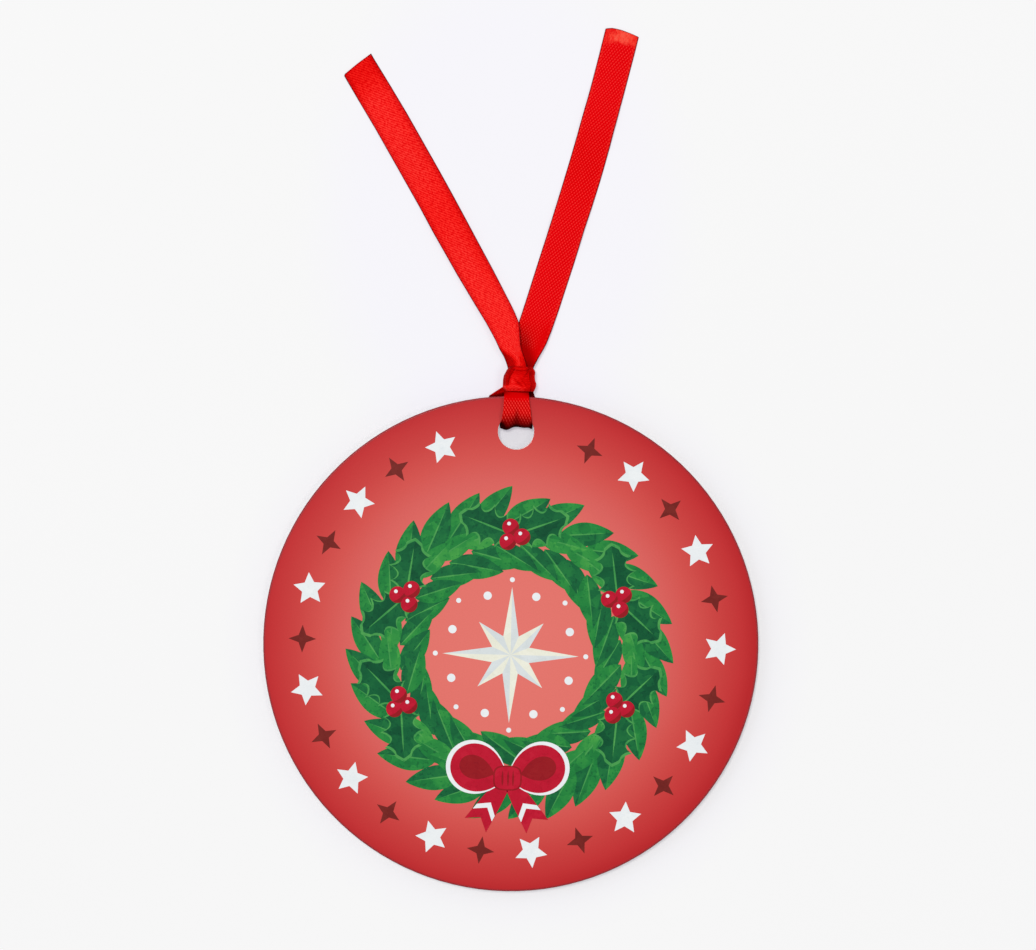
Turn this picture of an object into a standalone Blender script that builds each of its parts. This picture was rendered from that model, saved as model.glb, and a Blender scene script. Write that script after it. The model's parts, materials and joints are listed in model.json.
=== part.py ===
"""Round sheet-metal ornament with a knotted ribbon hanger, lying face up.

The disc's centre is on the Z axis, +Z leaves its decorated face and +Y points from the
centre to the hanging hole. The surface that everything lies on is z = 0. One length of
ribbon goes through the hole, round the narrow bridge of metal above it, and through a
tight knot. Its two tails lie spread in a V, the left one over the right one.
"""
import math

import bmesh
import bpy
from mathutils import Vector

# Disc, a punched sheet blank
DISC_DIAMETER = 0.0889
DISC_THICKNESS = 0.00114
DISC_EDGE_RADIUS = 0.0003
HOLE_DIAMETER = 0.00635
HOLE_EDGE_RADIUS = 0.00015
HOLE_CENTRE_TO_RIM = 0.00635
DISC_SEGMENTS = 120
HOLE_SEGMENTS = 40

# Ribbon, woven single-face satin
RIBBON_WIDTH = 0.006
RIBBON_THICKNESS = 0.0002
RIBBON_CLEARANCE = 0.00025
ROWS_ACROSS = 8

# Loop through the hole
LOOP_WIDTH_AT_KNOT = 0.00415
LOOP_WIDTH_IN_HOLE = 0.0054
LOOP_BEND_LENGTH = 0.0019
LOOP_BEND_FROM_HOLE_CENTRE = 0.0024
LOOP_FRONT_SHIFT = 0.0001
LOOP_BACK_SHIFT = -0.0013
LOOP_CREASE_DEPTH = 0.0004
LOOP_LEFT_LOBE = 0.00055
LOOP_BACK_SKEW = 0.0011

# Knot
KNOT_HEIGHT = 0.00445
KNOT_WIDTH_LOW = 0.0056
KNOT_WIDTH_WIDEST = 0.0059
KNOT_WIDTH_TOP = 0.0044
KNOT_DEPTH = 0.003
KNOT_CENTRE_X = 0.00043
KNOT_TO_RIM = 0.00085
KNOT_WALL = 0.0003
KNOT_LIP = 0.0004
KNOT_SQUARENESS = 2.5
WRAP_LAYER_GAP = 0.00012
WRAP_OUTER_END = math.radians(42)
WRAP_INNER_END = math.radians(42 + 360 + 35)
WRAP_STEP_FROM = math.radians(250)
WRAP_EDGE_LEAN = math.radians(9)
PLEAT_COUNT = 5
PLEAT_DEPTH = 0.00012
JOINT_GAP = 0.0003

# Tails
MOUTH_SPREAD = 0.0012
HEEL_RADIUS = 0.0015
LEFT_FLARE_LENGTH = 0.022
RIGHT_FLARE_LENGTH = 0.008
TAIL_CUP = 0.00035
TAIL_CUP_LENGTH = 0.015
ROW_SPACING = 0.0016
LEFT_END_SKEW = math.radians(11)
RIGHT_END_SKEW = math.radians(1.5)

# Routes of the tails' centre lines, each from its own pivot at the knot's mouth: x, y, height
LEFT_ROUTE = (
    (0.0, 0.0, 0.00200),
    (-0.00115, 0.00295, 0.00180),
    (-0.00244, 0.00552, 0.00150),
    (-0.00610, 0.01195, 0.00095),
    (-0.01134, 0.02076, 0.00045),
    (-0.02060, 0.03620, 0.00010),
    (-0.02991, 0.05170, 0.00010),
)
RIGHT_ROUTE = (
    (0.0, 0.0, 0.00100),
    (0.00110, 0.00295, 0.00072),
    (0.00207, 0.00595, 0.00045),
    (0.00392, 0.01215, 0.00015),
    (0.00669, 0.02145, 0.00010),
    (0.00974, 0.03235, 0.00010),
    (0.01170, 0.04005, 0.00010),
    (0.01355, 0.04695, 0.00010),
    (0.01623, 0.05878, 0.00010),
)

# Worked out from the above
DISC_BACK = RIBBON_THICKNESS + RIBBON_CLEARANCE
DISC_FRONT = DISC_BACK + DISC_THICKNESS
DISC_RADIUS = DISC_DIAMETER / 2
HOLE_Y = DISC_RADIUS - HOLE_CENTRE_TO_RIM
KNOT_LOW_Y = DISC_RADIUS + KNOT_TO_RIM
KNOT_TOP_Y = KNOT_LOW_Y + KNOT_HEIGHT
PIVOT_Y = KNOT_TOP_Y + JOINT_GAP + HEEL_RADIUS
LEFT_PIVOT = Vector((KNOT_CENTRE_X - MOUTH_SPREAD / 2, PIVOT_Y, 0.0))
RIGHT_PIVOT = Vector((KNOT_CENTRE_X + MOUTH_SPREAD / 2, PIVOT_Y, 0.0))
STRAND_FRONT_Z = DISC_FRONT + RIBBON_CLEARANCE + RIBBON_THICKNESS / 2
STRAND_BACK_Z = RIBBON_THICKNESS / 2


def clear_scene():
    for obj in list(bpy.data.objects):
        bpy.data.objects.remove(obj, do_unlink=True)


def new_collection(name):
    collection = bpy.data.collections.new(name)
    bpy.context.scene.collection.children.link(collection)
    return collection


def new_material(name, colour, roughness, metallic=0.0):
    material = bpy.data.materials.new(name)
    material.use_nodes = True
    shader = material.node_tree.nodes["Principled BSDF"]
    shader.inputs["Base Color"].default_value = (*colour, 1.0)
    shader.inputs["Roughness"].default_value = roughness
    shader.inputs["Metallic"].default_value = metallic
    return material


def smoothstep(t):
    t = min(max(t, 0.0), 1.0)
    return t * t * (3 - 2 * t)


def blend(a, b, t):
    return a + (b - a) * t


def grid_object(name, rows, collection, material, wrap=False):
    """A mesh sheet through rows of points, closed into a tube where wrap is set.

    Its normals are the direction along a row crossed with that to the next row.
    """
    mesh = bmesh.new()
    verts = [[mesh.verts.new(point) for point in row] for row in rows]
    count = len(rows[0])
    for i in range(len(rows) - 1):
        for j in range(count if wrap else count - 1):
            k = (j + 1) % count
            mesh.faces.new((verts[i][j], verts[i][k], verts[i + 1][k], verts[i + 1][j]))
    data = bpy.data.meshes.new(name)
    mesh.to_mesh(data)
    mesh.free()
    data.shade_smooth()
    data.materials.append(material)
    obj = bpy.data.objects.new(name, data)
    collection.objects.link(obj)
    return obj


def thicken(obj, thickness, offset):
    solidify = obj.modifiers.new("Thickness", "SOLIDIFY")
    solidify.thickness = thickness
    solidify.offset = offset
    solidify.use_even_offset = True
    solidify.use_rim = True
    return solidify


def set_origin(obj, point):
    """Moves the object's origin to a point, with its mesh left where it is."""
    for vertex in obj.data.vertices:
        vertex.co -= point
    obj.location = point


def across():
    """Positions across the ribbon, from its left edge at -1 to its right edge at 1."""
    return [2 * j / ROWS_ACROSS - 1 for j in range(ROWS_ACROSS + 1)]


def smooth_route(route, spacing):
    """Points about one spacing apart on a Catmull-Rom curve through the route's points."""
    points = [Vector(point) for point in route]
    points = [2 * points[0] - points[1]] + points + [2 * points[-1] - points[-2]]
    found = []
    for i in range(1, len(points) - 2):
        before, start, end, after = points[i - 1 : i + 3]
        steps = max(1, round((end - start).length / spacing))
        for n in range(steps):
            t = n / steps
            found.append(
                0.5
                * (
                    2 * start
                    + (end - before) * t
                    + (2 * before - 5 * start + 4 * end - after) * t**2
                    + (3 * start - before - 3 * end + after) * t**3
                )
            )
    return found + [points[-2]]


def edge_arc(radius, low, high, edge_radius, steps=4):
    """A turned edge's profile from the upper face to the lower one, rounded at both."""
    found = []
    for centre, start in ((high - edge_radius, 90), (low + edge_radius, 0)):
        for n in range(steps + 1):
            angle = math.radians(start - 90 * n / steps)
            found.append(
                (
                    radius - edge_radius + edge_radius * math.cos(angle),
                    centre + edge_radius * math.sin(angle),
                )
            )
    return found


def turned(name, profile, steps, collection, material=None):
    """A profile of radius and height, turned about the Z axis."""
    mesh = bmesh.new()
    verts = [mesh.verts.new((radius, 0.0, height)) for radius, height in profile]
    for first, second in zip(verts, verts[1:]):
        mesh.edges.new((first, second))
    data = bpy.data.meshes.new(name)
    mesh.to_mesh(data)
    mesh.free()
    if material:
        data.materials.append(material)
    obj = bpy.data.objects.new(name, data)
    collection.objects.link(obj)
    screw = obj.modifiers.new("Turn", "SCREW")
    screw.steps = steps
    screw.render_steps = steps
    screw.use_merge_vertices = True
    screw.merge_threshold = 0.00001
    screw.use_smooth_shade = True
    return obj


def hole_cutter(collection):
    """A cylinder whose ends flare, so that the hole's edges come out rounded."""
    radius = HOLE_DIAMETER / 2
    reach = HOLE_EDGE_RADIUS
    steps = 4
    flare = []
    for n in range(steps + 1):
        angle = math.pi / 2 * n / steps
        flare.append((radius + reach * (1 - math.sin(angle)), reach * (1 - math.cos(angle))))
    outside = RIBBON_THICKNESS
    upper = [(r, DISC_FRONT - depth) for r, depth in flare]
    lower = [(r, DISC_BACK + depth) for r, depth in reversed(flare)]
    profile = [(0.0, DISC_FRONT + outside), (radius + reach, DISC_FRONT + outside)]
    profile += upper + lower
    profile += [(radius + reach, DISC_BACK - outside), (0.0, DISC_BACK - outside)]
    cutter = turned("hole_cutter", profile, HOLE_SEGMENTS, collection)
    cutter.location = (0.0, HOLE_Y, 0.0)
    cutter.hide_render = True
    cutter.display_type = "WIRE"
    return cutter


def make_disc(parts, cutters, material):
    rim = edge_arc(DISC_RADIUS, DISC_BACK, DISC_FRONT, DISC_EDGE_RADIUS)
    profile = [(0.0, DISC_FRONT)] + rim + [(0.0, DISC_BACK)]
    disc = turned("disc", profile, DISC_SEGMENTS, parts, material)
    hole = disc.modifiers.new("Hanging hole", "BOOLEAN")
    hole.operation = "DIFFERENCE"
    hole.solver = "EXACT"
    hole.object = hole_cutter(cutters)
    return disc


def loop_path():
    """Stations of the loop: place, outward direction, and how far round it is, 0 to 1."""
    end_y = KNOT_LOW_Y - JOINT_GAP
    bend_y = HOLE_Y + LOOP_BEND_FROM_HOLE_CENTRE
    middle = (STRAND_FRONT_Z + STRAND_BACK_Z) / 2
    half_depth = (STRAND_FRONT_Z - STRAND_BACK_Z) / 2
    stations = []
    runs, turns = 8, 20
    for n in range(runs):
        y = blend(end_y, bend_y, n / runs)
        stations.append((y, STRAND_FRONT_Z, 0.0, 1.0, 0.4 * n / runs))
    for n in range(turns + 1):
        angle = math.pi / 2 - math.pi * n / turns
        stations.append(
            (
                bend_y - LOOP_BEND_LENGTH * math.cos(angle),
                middle + half_depth * math.sin(angle),
                -math.cos(angle),
                math.sin(angle),
                0.4 + 0.2 * n / turns,
            )
        )
    for n in range(1, runs + 1):
        y = blend(bend_y, end_y, n / runs)
        stations.append((y, STRAND_BACK_Z, 0.0, -1.0, 0.6 + 0.4 * n / runs))
    return stations


def make_loop(parts, material):
    """The doubled strand from the knot's front, through the hole, to the knot's back."""
    rows = []
    for y, z, out_y, out_z, along in loop_path():
        in_front = smoothstep(along / 0.4)
        behind = smoothstep((along - 0.55) / 0.3)
        width = blend(LOOP_WIDTH_AT_KNOT, LOOP_WIDTH_IN_HOLE, in_front)
        width = blend(width, RIBBON_WIDTH, behind)
        shift = blend(LOOP_FRONT_SHIFT, LOOP_BACK_SHIFT, behind)
        crease = LOOP_CREASE_DEPTH * (1 - smoothstep((along - 0.45) / 0.15))
        lobe = LOOP_LEFT_LOBE * math.exp(-(((along - 0.5) / 0.09) ** 2))
        skew = LOOP_BACK_SKEW * math.sin(math.pi * behind / 2) * behind
        row = []
        for u in across():
            out = crease * abs(u) ** 1.5 + lobe * max(0.0, -u)
            x = shift + u * width / 2
            row.append((x, y + out_y * out + skew * min(0.0, u), z + out_z * out))
        rows.append(row)
    loop = grid_object("ribbon_loop", rows, parts, material)
    thicken(loop, RIBBON_THICKNESS, 0.0)
    return loop


def knot_half_width(height):
    """Half the knot's width at a height from 0 at its foot to 1 at its top."""
    if height < 0.3:
        width = blend(KNOT_WIDTH_LOW, KNOT_WIDTH_WIDEST, smoothstep(height / 0.3))
    else:
        width = blend(KNOT_WIDTH_WIDEST, KNOT_WIDTH_TOP, smoothstep((height - 0.3) / 0.7))
    return width / 2


def knot_point(height, angle, inset):
    """A point on the knot. The angle runs from its right side, over its front, to its left."""
    half_width = knot_half_width(height) - inset
    half_depth = KNOT_DEPTH / 2 - inset
    power = 2 / KNOT_SQUARENESS
    x = math.copysign(abs(math.cos(angle)) ** power, math.cos(angle))
    z = math.copysign(abs(math.sin(angle)) ** power, math.sin(angle))
    return (
        KNOT_CENTRE_X + x * half_width,
        blend(KNOT_LOW_Y, KNOT_TOP_Y, height),
        KNOT_DEPTH / 2 + z * half_depth,
    )


def lip_inset(height):
    """How far the knot's surface rolls in near its foot and its top."""
    from_end = min(height, 1 - height) * KNOT_HEIGHT
    return KNOT_LIP * max(0.0, 1 - from_end / (2 * KNOT_LIP)) ** 2


def make_knot_wrap(parts, material):
    """The band that the ribbon makes round its own strands.

    It starts as the outer layer at the right of the front, goes once round, and tucks in
    under its own start.
    """
    turns, levels = 60, 14
    layer = KNOT_WALL + WRAP_LAYER_GAP
    rows = []
    for n in range(turns + 1):
        row = []
        for m in range(levels + 1):
            height = m / levels
            lean = WRAP_EDGE_LEAN * (2 * height - 1)
            angle = blend(WRAP_OUTER_END + lean, WRAP_INNER_END, n / turns)
            under = smoothstep((angle - WRAP_STEP_FROM) / (2 * math.pi - WRAP_STEP_FROM))
            row.append(knot_point(height, angle, lip_inset(height) + layer * under))
        rows.append(row)
    wrap = grid_object("knot_wrap", rows, parts, material)
    thicken(wrap, KNOT_WALL, -1.0)
    return wrap


def make_knot_core(parts, material):
    """The gathered strands that the band holds, pleated, between loop and tails."""
    levels, turns = 8, 40
    clear = 2 * KNOT_WALL + WRAP_LAYER_GAP + RIBBON_CLEARANCE
    rows = []
    for m in range(levels + 1):
        height = m / levels
        row = []
        for n in range(turns):
            angle = -2 * math.pi * n / turns
            pleat = PLEAT_DEPTH * (1 - math.cos(PLEAT_COUNT * angle)) / 2
            row.append(knot_point(height, angle, clear + lip_inset(height) + pleat))
        rows.append(row)
    core = grid_object("knot_core", rows, parts, material, wrap=True)
    mesh = bmesh.new()
    mesh.from_mesh(core.data)
    bmesh.ops.holes_fill(mesh, edges=[edge for edge in mesh.edges if edge.is_boundary])
    mesh.to_mesh(core.data)
    mesh.free()
    return core


def make_tail(name, route, pivot, flare_length, end_skew, parts, material):
    """A flat tail that leaves a rounded heel at the knot and flares to its full width."""
    line = [Vector(point) for point in smooth_route(route, ROW_SPACING)]
    first = (line[1] - line[0]).normalized()
    nose = (0.08, 0.22, 0.45, 0.75)
    line = [line[0] - first * HEEL_RADIUS * (1 - part) for part in nose] + line
    rows = []
    travelled = 0.0
    for i, point in enumerate(line):
        if i:
            travelled += (point - line[i - 1]).length
        ahead = line[min(i + 1, len(line) - 1)] - line[max(i - 1, 0)]
        ahead.z = 0.0
        ahead.normalize()
        side = Vector((ahead.y, -ahead.x, 0.0))
        if i < len(nose):
            half = HEEL_RADIUS * math.sqrt(1 - (1 - nose[i]) ** 2)
        else:
            left_to_flare = max(0.0, 1 - (travelled - HEEL_RADIUS) / flare_length)
            half = blend(RIBBON_WIDTH / 2, HEEL_RADIUS, min(1.0, left_to_flare) ** 2)
        to_end = 1 - i / (len(line) - 1)
        skew = math.tan(end_skew) * smoothstep(1 - to_end * 6)
        cup = TAIL_CUP * (1 - smoothstep(travelled / TAIL_CUP_LENGTH))
        row = []
        for u in across():
            place = pivot + point + side * u * half + ahead * u * half * skew
            place.z += cup * (u * u - 0.5) * min(1.0, half / HEEL_RADIUS)
            row.append(place)
        rows.append(row)
    tail = grid_object(name, rows, parts, material)
    thicken(tail, RIBBON_THICKNESS, 0.0)
    set_origin(tail, pivot)
    return tail


def main():
    clear_scene()
    parts = new_collection("disc_ornament")
    cutters = new_collection("cutters")
    coat = new_material("white_coated_metal", (0.78, 0.12, 0.1), 0.28)
    satin = new_material("red_satin", (0.85, 0.01, 0.012), 0.4)
    weave = new_material("red_ribbon_reverse", (0.72, 0.008, 0.01), 0.62)

    make_disc(parts, cutters, coat)
    make_loop(parts, weave)
    make_knot_wrap(parts, satin)
    make_knot_core(parts, satin)
    make_tail(
        "ribbon_tail_left", LEFT_ROUTE, LEFT_PIVOT, LEFT_FLARE_LENGTH,
        LEFT_END_SKEW, parts, satin,
    )
    make_tail(
        "ribbon_tail_right", RIGHT_ROUTE, RIGHT_PIVOT, RIGHT_FLARE_LENGTH,
        RIGHT_END_SKEW, parts, weave,
    )


main()
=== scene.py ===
"""The looks of a round printed ornament on a knotted red ribbon, lying face up.

Lengths are in millimetres, in the part's own frame, until a mesh is made from them.
"""
import json
import math
import random

import bpy
import numpy as np
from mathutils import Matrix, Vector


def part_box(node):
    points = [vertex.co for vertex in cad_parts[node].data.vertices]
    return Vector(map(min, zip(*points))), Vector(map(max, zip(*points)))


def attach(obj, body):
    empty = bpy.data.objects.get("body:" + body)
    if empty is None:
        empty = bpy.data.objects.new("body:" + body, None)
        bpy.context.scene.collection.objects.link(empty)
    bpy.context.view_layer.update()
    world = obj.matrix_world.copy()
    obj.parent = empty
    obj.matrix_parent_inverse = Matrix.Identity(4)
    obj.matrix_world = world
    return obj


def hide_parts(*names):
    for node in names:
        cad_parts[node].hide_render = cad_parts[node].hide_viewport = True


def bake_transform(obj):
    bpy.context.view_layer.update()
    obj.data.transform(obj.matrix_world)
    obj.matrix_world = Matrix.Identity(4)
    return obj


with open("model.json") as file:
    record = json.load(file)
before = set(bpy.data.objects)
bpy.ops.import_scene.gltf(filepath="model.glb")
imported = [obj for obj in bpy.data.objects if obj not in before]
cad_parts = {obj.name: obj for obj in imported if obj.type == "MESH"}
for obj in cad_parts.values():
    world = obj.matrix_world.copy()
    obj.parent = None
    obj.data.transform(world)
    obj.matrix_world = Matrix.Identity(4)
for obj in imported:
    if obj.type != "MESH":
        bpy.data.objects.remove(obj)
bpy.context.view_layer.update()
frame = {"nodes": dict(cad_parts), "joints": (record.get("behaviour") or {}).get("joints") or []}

MM = 0.001

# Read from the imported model
JOINTS = {joint["name"]: joint for joint in frame["joints"]}
DISC_LOW, DISC_HIGH = (np.array(corner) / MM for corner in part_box("disc"))
DISC_RADIUS = (DISC_HIGH[0] - DISC_LOW[0]) / 2
DISC_BACK, DISC_FRONT = DISC_LOW[2], DISC_HIGH[2]
HOLE_CENTRE = np.array(JOINTS["ribbon_swing"]["pos_m"]) / MM
LEFT_PIVOT = np.array(JOINTS["tail_left_swing"]["pos_m"]) / MM
RIGHT_PIVOT = np.array(JOINTS["tail_right_swing"]["pos_m"]) / MM

# The disc's hanging hole is a quarter of an inch across
HOLE_RADIUS = 3.175

# The printed gradient's middle is a little up and left of the disc's: painted light, lighter at the
# upper left
PRINT_AND_LIGHT_CENTRE = (-0.8, 0.4)

# The photograph's view: the middle of its frame, its width, and how far it is turned
VIEW_CENTRE = (0.54, 30.30)
VIEW_WIDTH = 185.85
VIEW_TURN = 1.42
CAMERA_HEIGHT = 500.0
SENSOR_WIDTH = 36.0

# Ribbon
RIBBON_WIDTH = 6.0
RIBBON_THICKNESS = 0.2
MESH_STEP = 0.25
RIBBON_COLUMNS = 2 * round(RIBBON_WIDTH / 2 / MESH_STEP) + 1

# A distance from a sealed end at which no mark of the heat is left
NOT_SEALED = 99.0

# A tail's gathers fade over a reach from the knot's mouth. From the waves' start on it rises
# and falls a little, and its cut slants its end over a reach.
GATHER_REACH = 5.0
WAVE_START = 18
WAVE_LENGTH = 19
WAVE_HEIGHT = 0.16
SLANT_REACH = 9

# Each tail's middle line, from its joint at the knot to its cut end, and its start in the knot
LEFT_ROUTE = (
    (0.0, 0.0, 2.00), (-1.15, 2.95, 1.80), (-2.44, 5.52, 1.50), (-6.10, 11.95, 0.95),
    (-11.34, 20.76, 0.45), (-20.60, 36.20, 0.10), (-29.91, 51.70, 0.10),
)
RIGHT_ROUTE = (
    (0.0, 0.0, 1.00), (1.10, 2.95, 0.72), (2.07, 5.95, 0.45), (3.92, 12.15, 0.15),
    (6.69, 21.45, 0.10), (9.74, 32.35, 0.10), (11.70, 40.05, 0.10), (13.55, 46.95, 0.10),
    (16.23, 58.78, 0.10),
)
INSIDE_KNOT_LEFT = (0.45, 48.3, 2.05)
INSIDE_KNOT_RIGHT = (0.70, 48.3, 1.05)

# The looped strand: how high it goes at the front and the back, its lowest point, and x of its
# left and right sides at each height
STRAND_TOP_FRONT = 47.3
STRAND_TOP_BACK = 46.6
STRAND_LOWEST = 39.05
FRONT_LEFT = ((39.1, -2.93), (39.8, -2.74), (40.6, -2.60), (41.9, -2.38), (45.2, -2.26), (47, -2.0))
FRONT_RIGHT = ((39.3, 2.91), (40.1, 2.79), (41.5, 2.58), (43.8, 2.23), (45.3, 2.10), (47, 1.9))
BACK_LEFT = ((39.0, -2.90), (41.5, -3.4), (44.4, -5.1), (46.05, -2.6), (46.75, -1.8))
BACK_RIGHT = ((39.0, 2.90), (41.5, 3.1), (44.3, 3.3), (45.9, 2.7), (46.6, 2.0))

# Knot: x of its left and right sides at heights from 0 at its foot to 1 at its top
KNOT_FOOT = 45.3
KNOT_HEIGHT = 4.4
KNOT_DEPTH = 3.0
MOUTH_Y = 49.75
KNOT_LEFT = ((0.0, -2.30), (0.17, -2.60), (0.45, -2.58), (0.62, -2.46), (0.80, -2.06), (0.96, -1.74),
             (1.0, -1.62))
KNOT_RIGHT = ((0.0, 3.30), (0.12, 3.30), (0.22, 3.40), (0.31, 3.46), (0.44, 3.24), (0.62, 3.15),
              (0.80, 3.22), (0.92, 3.02), (1.0, 2.68))

# Each crease of the knot: how deep, at which degrees at mid height, how wide, how many degrees
# it leans, at which height it is deepest and how far it reaches from there
KNOT_CREASES = (
    (0.24, 126, 5, -20, 0.62, 0.36),
    (0.13, 104, 5, 66, 0.30, 0.24),
    (0.12, 78, 5, -46, 0.70, 0.24),
    (0.10, 84, 4, 44, 0.30, 0.16),
    (0.08, 112, 4, 30, 0.80, 0.14),
    (0.12, 160, 7, 30, 0.45, 0.35),
    (0.14, 216, 10, 10, 0.50, 0.45),
    (0.14, 268, 9, -30, 0.55, 0.40),
    (0.12, 322, 9, 16, 0.50, 0.40),
    (0.10, 378, 6, 24, 0.45, 0.35),
)


def smoothstep(t):
    """0 up to t = 0 and 1 from t = 1 on, with a smooth rise between."""
    t = np.clip(t, 0.0, 1.0)
    return t * t * (3 - 2 * t)


def bell(x, centre, width):
    """1 at the centre, falling smoothly to nothing on both sides of it."""
    return np.exp(-(((x - centre) / width) ** 2))


# Materials

def linear(red, green, blue):
    """A colour written in the usual 0 to 255 values, as the light values that Blender takes."""
    def channel(value):
        value /= 255
        return value / 12.92 if value <= 0.04045 else ((value + 0.055) / 1.055) ** 2.4
    return (channel(red), channel(green), channel(blue), 1.0)


class Shading:
    """A material under construction, with short ways to add its nodes."""

    def __init__(self, name, **sockets):
        self.material = bpy.data.materials.new(name)
        self.material.use_nodes = True
        self.tree = self.material.node_tree
        self.shader = self.tree.nodes["Principled BSDF"]
        for socket, value in sockets.items():
            self.shader.inputs[socket.replace("_", " ")].default_value = value

    def add(self, kind, inputs=(), **settings):
        made = self.tree.nodes.new("ShaderNode" + kind)
        for setting, value in settings.items():
            setattr(made, setting, value)
        for socket, value in dict(inputs).items():
            self.put(made.inputs[socket], value)
        return made

    def put(self, socket, value):
        if isinstance(value, bpy.types.NodeSocket):
            self.tree.links.new(value, socket)
        else:
            socket.default_value = value

    def math(self, operation, *values, clamp=False):
        return self.add(
            "Math", dict(enumerate(values)), operation=operation, use_clamp=clamp
        ).outputs[0]

    def step(self, value, low, high):
        """0 below low and 1 above high, smoothly between them."""
        return self.add(
            "MapRange",
            {"Value": value, "From Min": low, "From Max": high},
            interpolation_type="SMOOTHSTEP",
        ).outputs["Result"]

    def mix(self, factor, first, second, blend_type="MIX"):
        made = self.add("Mix", data_type="RGBA", blend_type=blend_type)
        sockets = (made.inputs[0], made.inputs[6], made.inputs[7])
        for socket, value in zip(sockets, (factor, first, second)):
            self.put(socket, value)
        return made.outputs[2]

    def ramp(self, value, stops):
        made = self.add("ValToRGB", {"Fac": value})
        elements = made.color_ramp.elements
        while len(elements) < len(stops):
            elements.new(0.5)
        for element, (place, colour) in zip(elements, stops):
            element.position = place
            element.color = colour
        return made.outputs["Color"]

    def noise(self, vector, scale, detail=2.0, roughness=0.5):
        return self.add(
            "TexNoise",
            {"Vector": vector, "Scale": scale, "Detail": detail, "Roughness": roughness},
        ).outputs["Fac"]

    def scaled(self, vector, scale):
        return self.add("VectorMath", {0: vector, 1: scale}, operation="MULTIPLY").outputs[0]

    def bump(self, height, distance, strength=1.0):
        normal = self.add("Bump", {"Height": height, "Distance": distance, "Strength": strength})
        self.put(self.shader.inputs["Normal"], normal.outputs["Normal"])

    def colour(self, value):
        self.put(self.shader.inputs["Base Color"], value)


def object_position(shading):
    return shading.add("TexCoord").outputs["Object"]


def coat_material():
    """A gloss white coat with a red radial print on its front and over its rim."""
    s = Shading("printed_coat", Specular_IOR_Level=0.25)
    place = object_position(s)
    x, y, z = s.add("SeparateXYZ", {0: place}).outputs

    def distance(centre):
        across = s.math("SUBTRACT", x, centre[0] * MM)
        along = s.math("SUBTRACT", y, centre[1] * MM)
        squares = s.math("ADD", s.math("MULTIPLY", across, across), s.math("MULTIPLY", along, along))
        return s.math("SQRT", squares)

    # The radial print's off-centre middle paints its upper left lighter, as painted light
    share = s.math("DIVIDE", distance(PRINT_AND_LIGHT_CENTRE), DISC_RADIUS * MM)
    grain = s.math("SUBTRACT", s.noise(place, 3800.0, 3.0, 0.7), 0.5)
    cloud = s.math("SUBTRACT", s.noise(place, 60.0, 2.0), 0.5)
    share = s.math("ADD", share, s.math("MULTIPLY", cloud, 0.03))
    printed = s.ramp(share, (
        (0.0, linear(232, 120, 111)), (0.40, linear(230, 116, 107)),
        (0.55, linear(226, 108, 100)), (0.65, linear(220, 98, 93)),
        (0.75, linear(215, 83, 78)), (0.85, linear(206, 66, 64)),
        (0.95, linear(198, 49, 51)), (1.0, linear(188, 37, 41)),
    ))
    level = s.math("ADD", 1.0, s.math("MULTIPLY", grain, 0.16))
    printed = s.add("VectorMath", {0: printed, "Scale": level}, operation="SCALE").outputs[0]
    from_centre = distance((0.0, 0.0))
    # Painted shade: a thin darker line just inside the rim, where the rounded edge turns away from the
    # light
    rim_line_shade = s.math("MULTIPLY", s.step(z, (DISC_FRONT - 0.45) * MM, (DISC_FRONT - 0.25) * MM),
                      s.step(from_centre, (DISC_RADIUS - 0.55) * MM, (DISC_RADIUS - 0.1) * MM))
    printed = s.mix(rim_line_shade, printed, s.mix(1.0, printed, (0.60, 0.95, 1.08, 1.0), "MULTIPLY"))
    edge = (HOLE_RADIUS + 0.04) * MM
    on_front = s.step(z, (DISC_BACK + 0.45) * MM, (DISC_BACK + 0.6) * MM)
    has_print = s.math("MULTIPLY", s.step(distance(HOLE_CENTRE), edge, edge + 0.06 * MM), on_front)
    white = s.mix(s.noise(place, 900.0, 3.0), linear(234, 234, 234), linear(244, 244, 243))
    # Painted shade: the white coat at the top of the hole goes dark where it lies under the strand
    shade_under_strand = s.math("MULTIPLY", s.step(y, 38.9 * MM, 39.6 * MM),
                          s.step(distance(HOLE_CENTRE), edge + 0.5 * MM, edge + 0.3 * MM))
    white = s.mix(shade_under_strand, white, linear(78, 38, 42))
    s.colour(s.mix(has_print, white, printed))
    on_edge = s.step(from_centre, (DISC_RADIUS - 0.35) * MM, (DISC_RADIUS - 0.25) * MM)
    s.put(s.shader.inputs["Roughness"], s.math("ADD", 0.16, s.math("MULTIPLY", on_edge, 0.4)))
    s.bump(s.noise(place, 1500.0, 2.0), 0.004 * MM)
    return s.material


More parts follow.
